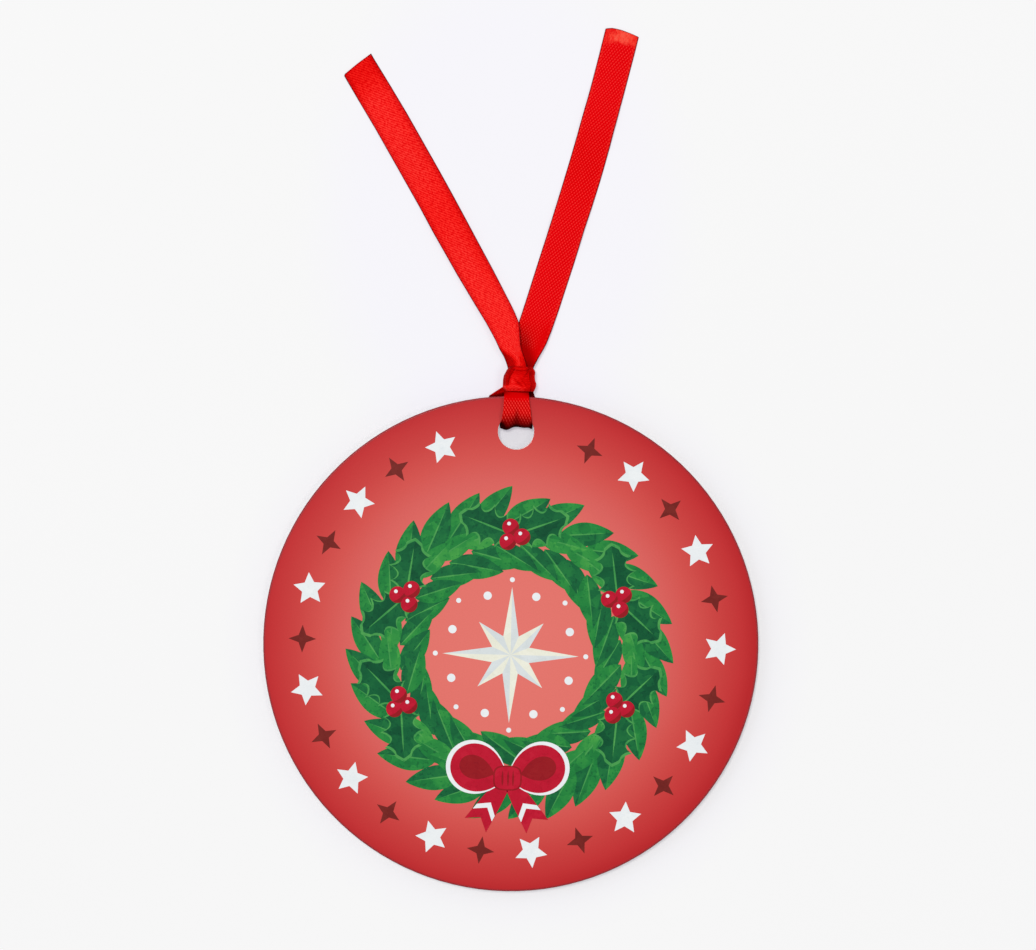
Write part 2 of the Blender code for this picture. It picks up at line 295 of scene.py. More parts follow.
def ink_material(name, stops, mottle):
    """Printed colour with the torn patches, flecks and paper grain of a painted picture."""
    s = Shading(name, Roughness=0.16, Specular_IOR_Level=0.25)
    place = object_position(s)
    ragged = s.add("TexNoise", {"Vector": place, "Scale": 900.0, "Detail": 3.0}).outputs["Color"]
    torn = s.add("VectorMath", {0: place, 1: s.scaled(ragged, (1.1 * MM,) * 3)}, operation="ADD")
    patch = s.add("TexVoronoi", {"Vector": torn.outputs[0], "Scale": 620.0}).outputs["Color"]
    patch = s.add("SeparateColor", {"Color": patch}).outputs[0]
    blots = s.noise(place, 420.0, 5.0, 0.62)
    flecks = s.step(s.noise(place, 1700.0, 2.0), 0.60, 0.66)
    value = s.math("ADD", s.math("MULTIPLY", blots, 0.9 * mottle),
                   s.math("MULTIPLY", patch, 0.36 * mottle))
    value = s.math("SUBTRACT", value, s.math("MULTIPLY", flecks, 0.28 * mottle))
    value = s.math("ADD", value, 0.47 - 0.59 * mottle)
    grain = s.math("SUBTRACT", s.noise(place, 3800.0, 3.0, 0.7), 0.5)
    level = s.math("ADD", 1.0, s.math("MULTIPLY", grain, 0.16))
    tint = s.ramp(value, stops)
    s.colour(s.add("VectorMath", {0: tint, "Scale": level}, operation="SCALE").outputs[0])
    s.bump(s.noise(place, 1500.0, 2.0), 0.004 * MM)
    return s.material


def ribbon_material():
    """Red polyester ribbon: satin on one face, a diagonal dotted weave on the other.

    The mesh says where each point is on the ribbon: weave is (mm across from its middle,
    mm along it, 1 on the satin face, -1 on the other and -1.6 where that one is pulled tight),
    seal is the distance in mm to a heat-sealed end, and fold_shade is how much painted shade
    darkens the point, from 0 to 1, deepest in folds.
    """
    s = Shading("red_ribbon", Specular_IOR_Level=0.25, Specular_Tint=(1.0, 0.02, 0.03, 1.0))
    weave = s.add("Attribute", attribute_name="weave").outputs["Vector"]
    across, along, face = s.add("SeparateXYZ", {0: weave}).outputs
    seal = s.add("Attribute", attribute_name="seal").outputs["Fac"]
    fold_shade = s.add("Attribute", attribute_name="fold_shade").outputs["Fac"]
    edge = s.math("ABSOLUTE", across)

    def wave(x_turns, y_turns):
        """A cosine with so many turns a millimetre across the ribbon and along it."""
        turns = s.math("ADD", s.math("MULTIPLY", across, 2 * math.pi * x_turns),
                       s.math("MULTIPLY", along, 2 * math.pi * y_turns))
        return s.math("COSINE", turns)

    def selvedge_marks(turns, low, high, inner, outer):
        """A row of marks along both selvedges, between two distances from the ribbon's middle."""
        band = s.math("MULTIPLY", s.step(edge, *inner), s.step(edge, *outer))
        return s.math("MULTIPLY", s.step(wave(0.0, turns), low, high), band)

    rising = s.math("MULTIPLY", wave(1.87, 1.32), 0.75)
    diagonals = s.math("MULTIPLY_ADD", wave(1.87, -1.08), 1.25, rising)
    tight = s.step(face, -1.1, -1.5)
    dots = s.step(s.math("MULTIPLY_ADD", tight, 0.3, diagonals), 0.3, 1.45)
    uneven = s.noise(s.scaled(weave, (2.2, 1.3, 0.0)), 1.0, 3.0)
    dots = s.math("MULTIPLY", dots, s.math("ADD", 0.5, uneven))
    s.put(s.shader.inputs["Roughness"], s.math("MULTIPLY_ADD", fold_shade, 0.45, 0.5, clamp=True))
    # The weave's dots fade where painted shade lies
    lit = s.math("SUBTRACT", 1.0, s.math("MULTIPLY", fold_shade, 0.9), clamp=True)
    lit = s.math("MULTIPLY", lit, s.step(face, -0.4, -0.9))
    dots = s.math("MULTIPLY", dots, lit, clamp=True)
    bright = s.mix(tight, linear(255, 46, 45), linear(255, 64, 58))
    raised = s.mix(fold_shade, bright, linear(255, 190, 180))
    reverse = s.mix(dots, s.mix(tight, linear(226, 0, 6), linear(213, 0, 4)), raised)
    edge_dots = selvedge_marks(1.35, -0.6, 0.7, (2.40, 2.52), (2.86, 2.78))
    reverse = s.mix(s.math("MULTIPLY", edge_dots, 0.3), reverse, linear(250, 66, 52))

    # Painted sheen: the satin's threads and floats shade its red from dark to pinkish, standing in for
    # the light they catch
    threads = s.noise(s.scaled(weave, (7.5, 0.9, 0.0)), 1.0, 3.0, 0.6)
    floats = s.noise(s.scaled(weave, (3.0, 2.2, 0.0)), 1.0, 3.0)
    twill = s.math("MULTIPLY", wave(2.1, 1.6), 0.10)
    sheen = s.math("ADD", s.math("ADD", s.math("MULTIPLY", threads, 0.55),
                                 s.math("MULTIPLY", floats, 0.65)), twill)
    satin = s.ramp(sheen, (
        (0.44, linear(226, 4, 8)), (0.58, linear(246, 30, 27)), (0.74, linear(255, 60, 51)),
    ))
    stitches = selvedge_marks(1.22, -0.1, 0.9, (2.22, 2.36), (2.74, 2.60))
    stitches = s.math("MULTIPLY", stitches, s.math("ADD", 0.25, uneven))
    # Darker in patches towards both selvedges
    patchy_edge_darkening = s.math("MULTIPLY", s.step(edge, 1.8, 2.8), s.math("MULTIPLY", uneven, 0.9))
    stitches = s.math("MAXIMUM", stitches, patchy_edge_darkening)
    satin = s.mix(stitches, satin, linear(208, 0, 4))

    cloth = s.mix(s.step(face, -0.2, 0.2), reverse, satin)
    streaks = s.math("MULTIPLY", s.step(across, 0.3, -1.6), s.step(threads, 0.45, 0.6))
    melted = s.math("SUBTRACT", uneven, s.math("MULTIPLY", s.step(edge, 0.8, 2.8), 0.35))
    melted = s.math("SUBTRACT", melted, s.math("MULTIPLY", streaks, 0.7))
    sealed = s.ramp(melted, (
        (0.0, linear(234, 28, 25)), (0.25, linear(249, 58, 44)), (1.0, linear(255, 108, 86)),
    ))
    frayed = s.math("MULTIPLY_ADD", s.noise(s.scaled(weave, (1.5, 0.8, 0.0)), 1.0, 2.0), 1.6, -0.8)
    frayed = s.math("ADD", s.math("ADD", seal, frayed), s.math("MULTIPLY", dots, 0.5))
    cloth = s.mix(s.step(frayed, 3.4, 2.4), cloth, sealed)
    # A dark line along the selvedges and the sealed end: partly their own darker colour, partly
    # painted shade at the rounded edges
    dark = s.math("MAXIMUM", s.step(edge, 2.77, 2.92), s.step(seal, 0.22, 0.08))
    cloth = s.mix(s.math("MULTIPLY", dark, 0.9), cloth, linear(104, 2, 14))
    # Painted shade: with fold_shade the cloth turns a deeper, richer red and then nearly black
    rich = s.math("ADD", 1.0, s.math("MULTIPLY", s.math("POWER", fold_shade, 0.6), 1.3))
    cloth = s.add("Gamma", {"Color": cloth, "Gamma": rich}).outputs["Color"]
    deep = s.mix(1.0, cloth, (0.03, 0.01, 0.02, 1.0), "MULTIPLY")
    s.colour(s.mix(fold_shade, cloth, deep))
    s.bump(s.mix(s.step(face, -0.2, 0.2), dots, sheen), 0.05 * MM, 0.7)
    return s.material


def floor_material():
    """A pale floor, with painted shadow under the disc and a little beyond it and round the tails.

    Half of what the camera sees of it is its own glow, so that its shadows stay faint.
    """
    s = Shading("pale_floor", Roughness=0.9, Specular_IOR_Level=0.0)
    place = object_position(s)
    grain = s.noise(place, 8.0)
    # Painted shadow round the disc, its middle a little right of and below the disc's
    shadow_centre = (1.15 * MM, -0.35 * MM, 0.0)
    from_middle = s.add("VectorMath", {0: place, 1: shadow_centre}, operation="DISTANCE")
    reach = DISC_RADIUS + 9
    shade = s.ramp(s.math("DIVIDE", from_middle.outputs["Value"], reach * MM), [
        ((DISC_RADIUS + beyond) / reach, (*colour, 1.0)) for beyond, colour in (
            (-4.0, (0.79, 0.775, 0.795)), (-0.7, (0.875, 0.868, 0.880)), (0.0, (0.895, 0.888, 0.905)),
            (1.0, (0.935, 0.930, 0.950)), (2.0, (0.960, 0.955, 0.978)), (3.5, (0.978, 0.974, 0.992)),
            (5.5, (0.990, 0.987, 1.0)), (9.0, (1.0, 1.0, 1.0)))
    ])
    lit = s.mix(grain, (0.96, 0.965, 0.90, 1.0), (0.98, 0.985, 0.92, 1.0))
    tone = s.mix(grain, (0.911, 0.904, 0.968, 1.0), (0.923, 0.916, 0.983, 1.0))
    # Painted shadow: a faint bluish tint over an oval round the tails
    to_tails = (4.0 * MM, -78.0 * MM, 0.0)
    by_tails = s.add("VectorMath", {0: place, 1: to_tails}, operation="ADD").outputs[0]
    by_tails = s.scaled(by_tails, (1 / (30 * MM), 1 / (42 * MM), 0.0))
    by_tails = s.add("VectorMath", {0: by_tails}, operation="LENGTH").outputs["Value"]
    tint = s.mix(s.step(by_tails, 1.3, 0.75), (1.0, 1.0, 1.0, 1.0), (0.991, 0.982, 1.028, 1.0))
    shade = s.mix(1.0, shade, tint, "MULTIPLY")
    s.colour(s.mix(1.0, lit, shade, "MULTIPLY"))
    glow = s.add("Emission", {"Color": s.mix(1.0, tone, shade, "MULTIPLY"), "Strength": 1.0})
    path = s.add("LightPath").outputs
    seen = s.math("MAXIMUM", path["Is Camera Ray"], path["Is Glossy Ray"])
    seen = s.math("MAXIMUM", seen, path["Is Transmission Ray"])
    share = s.math("MULTIPLY", seen, 0.5)
    both = s.add("MixShader", {0: share, 1: s.shader.outputs[0], 2: glow.outputs[0]})
    output = next(node for node in s.tree.nodes if node.type == "OUTPUT_MATERIAL")
    s.put(output.inputs["Surface"], both.outputs[0])
    return s.material


# Meshes

def mesh_object(name, points, faces, material, sharp_degrees=40.0):
    """A mesh from points in millimetres, shaded smooth except at its sharp edges."""
    data = bpy.data.meshes.new(name)
    data.from_pydata((np.asarray(points) * MM).tolist(), [], faces)
    data.materials.append(material)
    data.shade_smooth()
    data.set_sharp_from_angle(angle=math.radians(sharp_degrees))
    made = bpy.data.objects.new(name, data)
    bpy.context.scene.collection.objects.link(made)
    return made


def grid_faces(rows, columns, start, turned):
    """The quads of a grid of points numbered row by row."""
    faces = []
    for i in range(rows - 1):
        for j in range(columns - 1):
            a = start + i * columns + j
            quad = (a, a + 1, a + columns + 1, a + columns)
            faces.append(quad[::-1] if turned else quad)
    return faces


def ribbon_object(name, sheet, weave_at, satin, material, fold_shade, seal=NOT_SEALED,
                  thickness=RIBBON_THICKNESS):
    """A closed ribbon round a sheet of points, sheet[i, j], i along it and j across it.

    weave_at is each point's mm across and mm along the ribbon. satin and fold_shade are given for
    the upper and the lower side: 1 where satin shows and -1 where the reverse does, and how much
    painted shade darkens the side, most in folds. seal is how far each point is from a heat-sealed
    end.
    The ribbon swells at its selvedges and rounds off there.
    """
    rows, columns, _ = sheet.shape
    normal = np.cross(np.gradient(sheet, axis=1), np.gradient(sheet, axis=0))
    normal /= np.linalg.norm(normal, axis=2, keepdims=True)
    share = np.abs(np.linspace(-1, 1, columns))
    profile = 1 + 0.35 * bell(share, 0.93, 0.05) - 0.55 * smoothstep((share - 0.97) / 0.03)
    offset = normal * (thickness / 2 * profile)[None, :, None]
    count = rows * columns
    points = np.vstack(((sheet + offset).reshape(-1, 3), (sheet - offset).reshape(-1, 3)))
    faces = grid_faces(rows, columns, 0, False) + grid_faces(rows, columns, count, True)
    ring = list(range(columns))
    ring += [i * columns + columns - 1 for i in range(1, rows)]
    ring += [(rows - 1) * columns + j for j in range(columns - 2, -1, -1)]
    ring += [i * columns for i in range(rows - 2, 0, -1)]
    for a, b in zip(ring, ring[1:] + ring[:1]):
        faces.append((b, a, a + count, b + count))
    made = mesh_object(name, points, faces, material)

    def both_sides(upper, lower):
        return np.concatenate([np.broadcast_to(side, (rows, columns)).ravel()
                               for side in (upper, lower)]).astype(np.float32)

    weave = np.stack([both_sides(weave_at[0], weave_at[0]), both_sides(weave_at[1], weave_at[1]),
                      both_sides(*satin)], axis=1)
    attribute = made.data.attributes.new("weave", "FLOAT_VECTOR", "POINT")
    attribute.data.foreach_set("vector", weave.ravel())
    for title, values in (("seal", (seal, seal)), ("fold_shade", fold_shade)):
        attribute = made.data.attributes.new(title, "FLOAT", "POINT")
        attribute.data.foreach_set("value", both_sides(*values))
    return made


def smooth_line(points, step):
    """Points one step apart, or a little less, on a Catmull-Rom curve through the points."""
    points = np.asarray(points, float)
    points = np.vstack((2 * points[0] - points[1], points, 2 * points[-1] - points[-2]))
    found = []
    for before, start, end, after in zip(points, points[1:], points[2:], points[3:]):
        count = max(2, math.ceil(np.linalg.norm(end - start) / step))
        t = np.arange(count)[:, None] / count
        found.append(0.5 * (
            2 * start + (end - before) * t
            + (2 * before - 5 * start + 4 * end - after) * t**2
            + (3 * start - before - 3 * end + after) * t**3
        ))
    return np.vstack(found + [points[-2:-1]])


def distances(line):
    """How far along a line each of its points is."""
    return np.concatenate(([0.0], np.cumsum(np.linalg.norm(np.diff(line, axis=0), axis=1))))


# Ribbon

def make_tail(tail, material):
    """A tail from inside the knot to its cut end, gathered and creased at the knot's mouth."""
    middle = [tail["inside"]] + [tail["pivot"] + np.array(point) for point in tail["route"]]
    line = smooth_line(middle, MESH_STEP)
    s = distances(line)
    ahead = np.gradient(line, axis=0)
    ahead[:, 2] = 0
    ahead /= np.linalg.norm(ahead, axis=1, keepdims=True)
    side = np.stack((ahead[:, 1], -ahead[:, 0], 0 * s), axis=1)
    out = (s - np.interp(MOUTH_Y, line[:, 1], s))[:, None]
    half_left = np.interp(out, *zip(*tail["left_edge"]))
    half_right = np.interp(out, *zip(*tail["right_edge"]))
    u = np.linspace(-1, 1, RIBBON_COLUMNS)[None, :]
    across = np.where(u < 0, half_left, half_right) * u
    sheet = line[:, None, :] + side[:, None, :] * across[:, :, None]
    from_cut = (s[-1] - s)[:, None]
    gather = np.exp(-np.maximum(out, 0) / GATHER_REACH)
    height, fold_shade = tail["crease"](sheet, u, out, gather)
    upper, lower = tail["satin"]
    if upper < 0:
        # The raised threads of the reverse side fade towards the knot, first at the right
        upper = upper + 0.5 * smoothstep((u + 0.1) / 0.9) * smoothstep((13 - out) / 7)
        upper = np.maximum(upper, -1 + 0.5 * smoothstep((5.0 - out) / 2))
    height += 0.12 * (1 - gather) * (1 - u**2)
    lift = WAVE_HEIGHT * (1 - np.cos(2 * math.pi * np.maximum(out - WAVE_START, 0) / WAVE_LENGTH))
    height += lift * smoothstep(from_cut / 6)
    sheet[:, :, 2] += height
    at_end = smoothstep(1 - from_cut / SLANT_REACH)
    cut = np.interp(u, *zip(*tail["cut"]))
    sheet += ahead[:, None, :] * (cut * at_end)[:, :, None]
    weave_at = (u * RIBBON_WIDTH / 2, s[:, None])
    seal = from_cut * (1.3 + 0.3 * u) if tail["sealed"] else NOT_SEALED
    # Painted shade darkens the unsealed end towards its cut, and over the cut itself
    if not tail["sealed"]:
        fold_shade = fold_shade + 0.09 * smoothstep((7 - from_cut) / 6)
        fold_shade = np.maximum(fold_shade, 0.75 * (from_cut < 0.1))
    made = ribbon_object(tail["name"], sheet, weave_at, (upper, lower), material,
                         (fold_shade, 0.3 * fold_shade), seal)
    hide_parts(tail["node"])
    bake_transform(made)


# Where across the left tail, from -1 to 1, its turned-down side begins, by mm from the mouth
LEFT_TAIL_TURN = (
    (-1.5, -0.2), (0, -0.22), (1, -0.2), (2, -0.38), (2.8, -0.62), (3.6, -0.85), (5.0, -1.1),
)


def left_crease(sheet, u, out, gather):
    """Heights and painted fold shade of the left tail: its left side turns down towards the mouth."""
    turn = np.interp(out, *zip(*LEFT_TAIL_TURN))
    past = (turn - u) * 1.7
    drop = (np.sqrt(past**2 + 0.03) + past) / 2 * smoothstep((5.6 - out) / 1.8)
    ripple = 0.10 * bell(u, 0.55, 0.22) * gather - 0.10 * bell(u, 0.15, 0.16) * gather
    # Painted shade on the turned-down side and by the mouth
    fold_shade = 0.44 * smoothstep(past / 0.8 + 0.4) * smoothstep((5.5 - out) / 1.1)
    fold_shade = fold_shade + 0.20 * smoothstep((u - 0.18) / 0.3) * smoothstep((2.6 - out) / 2)
    # Painted shade along the right side further out, and in a patch about 31 mm out, as of gentle
    # undulations
    shaded_right_side = smoothstep((u - 0.2) / 0.4) * smoothstep((out - 13) / 4)
    fold_shade = fold_shade + shaded_right_side * (0.006 + 0.015 * bell(out, 24, 8)) + 0.018 * bell(out, 31.2, 4.2)
    return -0.62 * drop + ripple, fold_shade


# The left tail's right edge where it lies over the right tail: y and x
LEFT_TAIL_RIGHT_EDGE = (
    (49.8, 1.66), (50.4, 1.46), (51.1, 1.23), (51.7, 0.98), (52.3, 0.77), (53.0, 0.50),
    (53.7, 0.37), (54.4, 0.30), (55.3, 0.19), (56.2, 0.07), (57.7, -0.03),
)


def right_crease(sheet, u, out, gather):
    """Heights and painted shade of the right tail: it dips beside the left tail that lies on it, and
    is darkened there.
    """
    beside = sheet[:, :, 0] - np.interp(sheet[:, :, 1], *zip(*LEFT_TAIL_RIGHT_EDGE))
    along = 1 - smoothstep((sheet[:, :, 1] - 53.4) / 5.2)
    near = np.exp(-np.maximum(beside, 0) / 1.5) * along
    ripple = 0.08 * np.sin(4.5 * u + 0.5 * out) * gather
    at_mouth = smoothstep((2.2 - out) / 2.0)
    shade = 0.36 * bell(np.maximum(beside, 0), 0.7, 1.3) * along
    # Painted shade beside the left tail, at the mouth and in the gather, with a faint patch about 38
    # mm out
    fold_shade = shade + 0.10 * at_mouth + 0.08 * gather * smoothstep((10 - out) / 3)
    fold_shade = fold_shade + 0.01 * smoothstep((9 - out) / 2)
    fold_shade = fold_shade + 0.012 * bell(out, 38, 5.5) * (1 + 0.7 * smoothstep(-u / 0.5))
    return 0.30 * u * gather - 0.35 * near + ripple, fold_shade


def loop_line():
    """The loop's middle line: rows of y, z and the outward direction's y and z."""
    front_z = DISC_FRONT + 0.35
    back_z = RIBBON_THICKNESS / 2
    middle, half_depth = (front_z + back_z) / 2, (front_z - back_z) / 2
    reach = 2.6
    bend_y = STRAND_LOWEST + reach
    rows = [(STRAND_TOP_FRONT + (bend_y - STRAND_TOP_FRONT) * t, front_z, 0.0, 1.0)
            for t in np.linspace(0, 1, 28, endpoint=False)]
    for angle in np.linspace(math.pi / 2, -math.pi / 2, 37):
        rows.append((bend_y - reach * math.cos(angle), middle + half_depth * math.sin(angle),
                     -math.cos(angle), math.sin(angle)))
    for t in np.linspace(0, 1, 31)[1:]:
        lift = 1.1 * smoothstep((t - 0.6) / 0.4)
        rows.append((bend_y + (STRAND_TOP_BACK - bend_y) * t, back_z + lift, 0.0, -1.0))
    return np.array(rows)


def make_loop(material):
    """The doubled strand: down the front, through the hole and up the back to the knot."""
    y, z, out_y, out_z = loop_line().T[:, :, None]
    s = distances(np.hstack((y, z)))[:, None]
    lowest = s[np.argmin(y)]
    front = s <= lowest
    u = np.linspace(-1, 1, RIBBON_COLUMNS)[None, :]
    left = np.where(front, np.interp(y, *zip(*FRONT_LEFT)), np.interp(y, *zip(*BACK_LEFT)))
    right = np.where(front, np.interp(y, *zip(*FRONT_RIGHT)), np.interp(y, *zip(*BACK_RIGHT)))
    x = (left + right) / 2 + (right - left) / 2 * u
    share = s / lowest
    front_valley = 0.40 * smoothstep(share / 0.75) - 0.26 * smoothstep((share - 0.75) / 0.25)
    valley = np.where(front, front_valley, 0.14 * (1 - smoothstep((share - 1) / 0.4)))
    near_turn = bell(s, lowest, 1.6)
    out = valley * np.abs(u - 0.05) ** 1.3 + near_turn * (
        0.55 * bell(u, -0.60, 0.32) + 0.12 * bell(u, 0.45, 0.3) + 0.22 * bell(u, 1.0, 0.16))
    sheet = np.stack((x, y + out_y * out, z + out_z * out), axis=2)
    # Painted shade: the strand darkens towards its bend into the hole, in a middle notch and corners
    # there, by the knot's edges; on the back run, under the knot and by the disc's rim
    front_fold_shade = 0.63 * smoothstep((41.9 - y) / 2.6) ** 1.25
    outer_fold_shade = np.where(front, front_fold_shade, 0.8 * bell(s, lowest, 1.0))
    notch = bell(u, 0.0, 0.13 + 0.12 * smoothstep((41.4 - y) / 1.8)) * bell(
        y, 41.1, np.where(y > 41.1, 0.9, 1.8))
    corners = (bell(u, -1.0, 0.27) + bell(u, 1.0, 0.11)) * smoothstep((40.5 - y) / 1.1)
    by_knot = 0.05 * smoothstep((y - 44.0) / 0.9)
    by_knot = by_knot + 0.65 * np.abs(u) ** 2.5 * smoothstep((y - 44.2) / 1.1)
    outer_fold_shade = outer_fold_shade + by_knot * front
    in_hole = 0.33 * notch + 0.7 * corners + 0.25 * smoothstep((39.7 - y) / 0.5) + 0.03
    outer_fold_shade = outer_fold_shade + in_hole * front
    rim_shade = smoothstep((44.5 + 0.25 * (x + 5) - y) / 0.5 + 0.5)
    inner_fold_shade = np.where(front, 0.7, 0.30 + 0.6 * np.maximum(rim_shade, smoothstep((x - 1.8) / 0.8)))
    outer_face = np.where(front, -1.6 + 1.45 * smoothstep((y - 43.2) / 1.3), -1.0) + 0 * u
    across = np.where(front, (right - left) / 2, 0.47 * RIBBON_WIDTH) * u
    made = ribbon_object("loop_strand", sheet, (across, s), (1.0, outer_face), material,
                         (inner_fold_shade, np.clip(outer_fold_shade, 0, 1)))
    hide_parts("ribbon_loop")
    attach(made, "ribbon")


def knot_surface(height, angle, inset):
    """Points of the knot. The angle runs from its right side over its front to its left."""
    left = np.interp(height, *zip(*KNOT_LEFT)) + inset
    right = np.interp(height, *zip(*KNOT_RIGHT)) - inset
    power = 2 / 2.5
    c, sn = np.cos(angle), np.sin(angle)
    x = (left + right) / 2 + np.sign(c) * np.abs(c) ** power * (right - left) / 2
    z = KNOT_DEPTH / 2 + np.sign(sn) * np.abs(sn) ** power * (KNOT_DEPTH / 2 - inset)
    y = KNOT_FOOT + height * KNOT_HEIGHT + 0 * x
    return np.stack((x, y, z), axis=-1)


def lip(height, reach=0.4):
    """How far the knot rounds inward near its foot and its top."""
    from_end = np.minimum(height, 1 - height) * KNOT_HEIGHT
    return reach * np.maximum(0.0, 1 - from_end / (2 * reach)) ** 2


def knot_folds(degrees, height):
    """How deep the knot's creases go at each of its points."""
    folds = 0 * degrees * height
    for depth, place, width, slope, level, reach in KNOT_CREASES:
        leaning = degrees - slope * (height - 0.5)
        folds = folds + depth * bell(leaning, place, width) * bell(height, level, reach)
    return folds


def make_knot(material):
    """The band round the strands, which tucks in under its own start at the right."""
    wall, gap = 0.3, 0.12
    start, end = math.radians(54), math.radians(452)
    turns, levels = 170, 48
    height = np.linspace(0, 1, levels + 1)[None, :]
    lean = math.radians(4) * (2 * height - 1)
    share = np.linspace(0, 1, turns + 1)[:, None]
    angle = (start + lean) * (1 - share) + end * share
    degrees = np.degrees(angle)
    under = smoothstep((degrees - 352) / 44)
    under_roll = bell(height, 0.865 + 0.03 * np.sin(np.radians(3 * degrees)), 0.035)
    folds = knot_folds(degrees, height) + 0.13 * under_roll * smoothstep((132 - degrees) / 16)
    lobe_left = bell(degrees, 142, 20) * bell(height, 0.10, 0.12)
    lobe_right = bell(degrees, 76, 16) * bell(height, 0.10, 0.10)
    inset = lip(height) + (wall + gap) * under + wall / 2 + folds
    inset = inset - 0.18 * lobe_left - 0.1 * lobe_right
    points = knot_surface(height + 0 * angle, angle, inset)
    # Painted shade: darker on the left facet, in creases, where the band tucks under and below its top
    # roll
    facet = smoothstep((degrees - 124) / 6) * smoothstep((212 - degrees) / 26)
    # Painted highlight: lighter patches on the front and at the top, and on the lobes at the foot
    bright = bell(degrees, 108, 11) * bell(height, 0.44, 0.22)
    bright = bright + bell(degrees, 117, 7) * bell(height, 0.97, 0.05)
    fold_shade = 0.11 + 2.0 * np.maximum(folds, 0) + 0.29 * facet * smoothstep((height - 0.16) / 0.12)
    fold_shade = fold_shade + 0.30 * under + 0.12 * bell(height, 0.97, 0.06) + 0.14 * bell(degrees, 62, 9)
    fold_shade = fold_shade - 0.14 * bright - 0.28 * lobe_left - 0.10 * lobe_right + 0.12 * under_roll
    fold_shade = fold_shade - 0.18 * bell(degrees, 100, 26) * bell(height, 0.14, 0.10)
    fold_shade = fold_shade + 0.12 * bell(height, 0.75, 0.08)
    # Painted stripes of light and shade across the band
    ribs = np.sin(2 * math.pi * height * KNOT_HEIGHT / 0.41) * bell(height, 0.48, 0.25)
    fold_shade = fold_shade + 0.14 * ribs * (bell(degrees, 63, 9) + 0.7 * bell(degrees, 98, 7))
    weave_at = ((height - 0.53) * 0.94 * RIBBON_WIDTH, angle * 2.6)
    # The band's inner side is darkened throughout by painted shade
    made = ribbon_object("knot_band", points, weave_at, (0.05, 0.0), material,
                         (np.clip(fold_shade, 0, 0.9), 0.8), thickness=wall)
    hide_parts("knot_wrap", "knot_core")
    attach(made, "ribbon")


# Print

# How far a film of ink is sunk into the coat, and how far each level of ink stands over the last
FILM_SINK = 0.01
FILM_STEP = 0.0015

# Each ink: how strong its mottle is, and its shades from dark to light at places on a ramp
INKS = {
    "green_dark": (1.0, (0.1, (12, 84, 50)), (0.45, (18, 101, 57)), (0.8, (34, 124, 62))),
    "green_mid": (1.0, (0.1, (21, 104, 53)), (0.45, (31, 128, 60)), (0.8, (52, 148, 66))),
    "green_light": (1.0, (0.1, (30, 122, 58)), (0.45, (44, 141, 64)), (0.8, (74, 164, 72))),
    "holly": (1.0, (0.1, (4, 70, 44)), (0.45, (9, 84, 50)), (0.8, (20, 102, 56))),
    "holly_light": (1.0, (0.1, (8, 80, 48)), (0.45, (15, 96, 55)), (0.8, (30, 114, 60))),
    "green_vein": (1.0, (0.1, (48, 138, 70)), (0.8, (84, 166, 84))),
    "crimson": (0.6, (0.1, (172, 12, 38)), (0.45, (190, 16, 46)), (0.8, (202, 30, 56))),
    "crimson_dark": (0.6, (0.1, (134, 14, 28)), (0.45, (150, 20, 30)), (0.8, (160, 30, 36))),
    "dark_red": (0.6, (0.1, (104, 28, 26)), (0.45, (116, 34, 30)), (0.8, (128, 44, 38))),
    "white": (0.5, (0.1, (228, 234, 238)), (0.5, (238, 242, 244)), (0.8, (246, 248, 248))),
    "cream": (0.5, (0.1, (226, 226, 206)), (0.5, (238, 238, 221)), (0.8, (246, 246, 232))),
    "pale": (0.5, (0.1, (206, 214, 214)), (0.5, (218, 225, 226)), (0.8, (228, 234, 236))),
}


def film(name, shapes, material):
    """Printed shapes on the disc's front, as thin closed films. shapes are (outline, level) pairs."""
    points, faces = [], []
    for outline, level in shapes:
        outline = np.asarray(outline)
        x, y = outline.T
        if np.sum(x * np.roll(y, -1) - y * np.roll(x, -1)) < 0:
            outline = outline[::-1]
        first, count = len(points), len(outline)
        top = DISC_FRONT + FILM_STEP * (level + 1)
        points += [(x, y, top) for x, y in outline]
        points += [(x, y, DISC_FRONT - FILM_SINK) for x, y in outline]
        faces.append(tuple(range(first, first + count)))
        faces.append(tuple(range(first + 2 * count - 1, first + count - 1, -1)))
        for i in range(count):
            j = (i + 1) % count
            faces.append((first + j, first + i, first + count + i, first + count + j))
    made = mesh_object(name, points, faces, material, 30)
    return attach(made, "disc")


def placed(outline, centre, degrees, scale=1.0):
    """An outline scaled, turned and moved to a centre."""
    turn = math.radians(degrees)
    matrix = np.array(((math.cos(turn), math.sin(turn)), (-math.sin(turn), math.cos(turn))))
    return np.asarray(outline) * scale @ matrix + np.asarray(centre)


def on_ring(radius, degrees, centre=(0.0, 0.0)):
    """The point at so many degrees on a circle, counted from x towards y."""
    turn = math.radians(degrees)
    return (centre[0] + radius * math.cos(turn), centre[1] + radius * math.sin(turn))


def leaf_outline(length, width, from_side=-1.0):
    """A pointed leaf along x from the origin; from_side 0 gives its upper half alone."""
    t = np.linspace(0, 1, 15)
    half = width / 2 * np.sin(math.pi * t**0.85) ** 0.85
    upper = np.stack((t * length, half), axis=1)
    lower = np.stack((t * length, from_side * half), axis=1)[::-1]
    return np.vstack((upper, lower[1:-1]))


def holly_outline(length, width):
    """A spiked leaf along x from the origin."""
    t = np.linspace(0, 1, 41)
    spikes = np.abs(np.sin(math.pi * 4 * t)) ** 0.7
    half = width / 2 * (0.45 + 0.55 * np.sin(math.pi * t)) * (1 - 0.42 * spikes)
    half *= np.minimum(1, np.minimum(t, 1 - t) * 12)
    upper = np.stack((t * length, half), axis=1)
    return np.vstack((upper, (upper * (1, -1))[::-1][1:-1]))


